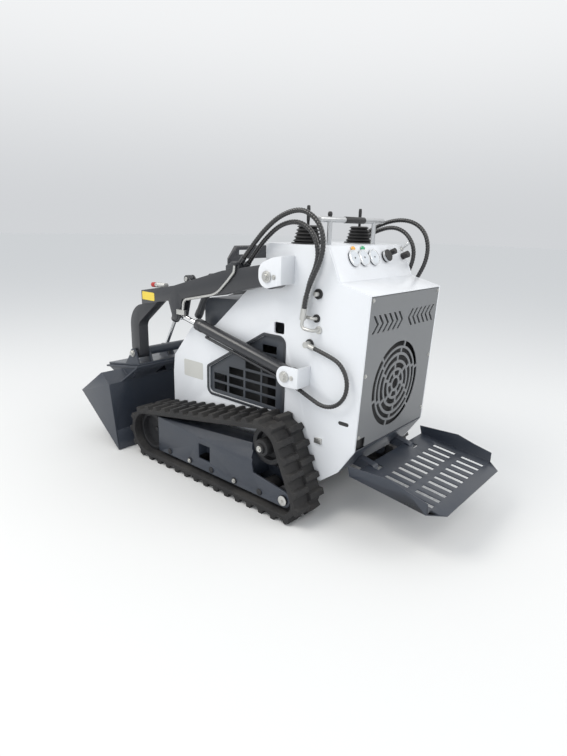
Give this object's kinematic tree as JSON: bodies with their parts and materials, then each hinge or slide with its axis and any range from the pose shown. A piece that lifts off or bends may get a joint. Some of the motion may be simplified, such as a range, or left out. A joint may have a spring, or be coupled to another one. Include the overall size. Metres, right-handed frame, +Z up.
{
  "type": "tracked skid steer loader",
  "caption": "Compact tracked skid steer loader with a stand-on platform, lift arms and a bucket dumped to the ground.",
  "frame": {"origin": "on the ground below the middle of the overall length and width", "axes": "+X forwards to the bucket, +Y to the loader's left, +Z up"},
  "size_m": [2.111, 1.06, 1.3],
  "materials": {
    "body_white": "gloss",
    "charcoal": "satin",
    "slate": "satin",
    "mid_grey": "satin",
    "engine_grey": "satin",
    "track_rubber": "matt",
    "hose_rubber": "matt",
    "zinc": "satin",
    "cast": "matt",
    "steel": "brushed",
    "chrome": "polished",
    "black_plastic": "matt",
    "red_plastic": "matt"
  },
  "bodies": {
    "chassis": {"side_plate_left": "body_white", "side_plate_right": "body_white", "console": "body_white", "hood": "body_white", "front_panel": "body_white", "belly_pan": "slate", "engine_cover": "engine_grey", "rear_panel": "mid_grey", "engine_block": "cast", "radiator": "cast", "side_grilles": "engine_grey", "port_trims": "engine_grey", "ear_brackets": "body_white", "chassis_pins": "steel", "track_left": "track_rubber", "track_right": "track_rubber", "track_frame_left": "slate", "track_frame_right": "slate", "sprockets": "cast", "drive_motors": "cast", "idlers": "cast", "rollers": "cast", "undercarriage_beams": "slate", "platform_brackets": "slate", "platform_pins": "steel", "handle_bar": "charcoal", "lever_boots": "black_plastic", "control_levers": "black_plastic", "gauges": "black_plastic", "boom_hoses": "hose_rubber", "lift_hose_left": "hose_rubber", "lift_hose_right": "hose_rubber", "side_fittings": "zinc"},
    "boom": {"boom_arm_left": "charcoal", "boom_arm_right": "charcoal", "drop_arms": "charcoal", "cross_tube": "charcoal", "tilt_base_pins": "steel", "hose_blocks": "charcoal", "boom_lines": "zinc", "couplers": "zinc", "coupler_caps": "red_plastic", "boom_hoop": "charcoal"},
    "lift_barrel_l": {"lift_barrel_left": "charcoal"},
    "lift_rod_l": {"lift_rod_left": "chrome"},
    "lift_barrel_r": {"lift_barrel_right": "charcoal"},
    "lift_rod_r": {"lift_rod_right": "chrome"},
    "tilt_barrel_l": {"tilt_barrel_left": "charcoal"},
    "tilt_rod_l": {"tilt_rod_left": "chrome"},
    "tilt_barrel_r": {"tilt_barrel_right": "charcoal"},
    "tilt_rod_r": {"tilt_rod_right": "chrome"},
    "attachment": {"hitch_frame": "slate", "hitch_pins": "steel", "bucket": "slate", "cutting_edge": "slate"},
    "step": {"platform": "slate"}
  },
  "joints": [
    {"name": "boom_lift", "type": "hinge", "parent": "chassis", "child": "boom", "pos_m": [-0.234, 0, 1.014], "axis": [0, -1, 0], "range_deg": [0, 60], "deforming": ["boom_hoses"]},
    {"name": "bucket_tilt", "type": "hinge", "parent": "boom", "child": "attachment", "pos_m": [0.745, 0, 0.52], "axis": [0, -1, 0], "range_deg": [0, 100]},
    {"name": "platform_fold", "type": "hinge", "parent": "chassis", "child": "step", "pos_m": [-0.668, 0, 0.226], "axis": [0, 1, 0], "range_deg": [0, 70]},
    {"name": "lift_barrel_swing_l", "type": "hinge", "parent": "chassis", "child": "lift_barrel_l", "pos_m": [-0.342, 0.333, 0.611], "axis": [0, -1, 0], "range_deg": [0, 41.5], "deforming": ["lift_hose_left"]},
    {"name": "lift_rod_slide_l", "type": "slide", "parent": "lift_barrel_l", "child": "lift_rod_l", "axis": [0.9761, 0, 0.2174], "range_m": [0, 0.29]},
    {"name": "lift_barrel_swing_r", "type": "hinge", "parent": "chassis", "child": "lift_barrel_r", "pos_m": [-0.342, -0.333, 0.611], "axis": [0, -1, 0], "range_deg": [0, 41.5], "deforming": ["lift_hose_right"]},
    {"name": "lift_rod_slide_r", "type": "slide", "parent": "lift_barrel_r", "child": "lift_rod_r", "axis": [0.9761, 0, 0.2174], "range_m": [0, 0.29]},
    {"name": "tilt_barrel_swing_l", "type": "hinge", "parent": "boom", "child": "tilt_barrel_l", "pos_m": [0.608, 0.087, 0.918], "axis": [0, -1, 0], "range_deg": [-5, 1]},
    {"name": "tilt_rod_slide_l", "type": "slide", "parent": "tilt_barrel_l", "child": "tilt_rod_l", "axis": [0.4904, 0, -0.8715], "range_m": [-0.155, 0.001]},
    {"name": "tilt_barrel_swing_r", "type": "hinge", "parent": "boom", "child": "tilt_barrel_r", "pos_m": [0.608, -0.087, 0.918], "axis": [0, -1, 0], "range_deg": [-5, 1]},
    {"name": "tilt_rod_slide_r", "type": "slide", "parent": "tilt_barrel_r", "child": "tilt_rod_r", "axis": [0.4904, 0, -0.8715], "range_m": [-0.155, 0.001]}
  ],
  "couplings": [
    {"joint": "lift_barrel_swing_l", "follows": "boom_lift", "ratio": 0.66868},
    {"joint": "lift_rod_slide_l", "follows": "boom_lift", "m_per_rad": 0.27266},
    {"joint": "lift_barrel_swing_r", "follows": "boom_lift", "ratio": 0.66868},
    {"joint": "lift_rod_slide_r", "follows": "boom_lift", "m_per_rad": 0.27266},
    {"joint": "tilt_barrel_swing_l", "follows": "bucket_tilt", "ratio": -0.04263},
    {"joint": "tilt_rod_slide_l", "follows": "bucket_tilt", "m_per_rad": -0.08625},
    {"joint": "tilt_barrel_swing_r", "follows": "bucket_tilt", "ratio": -0.04263},
    {"joint": "tilt_rod_slide_r", "follows": "bucket_tilt", "m_per_rad": -0.08625}
  ]
}
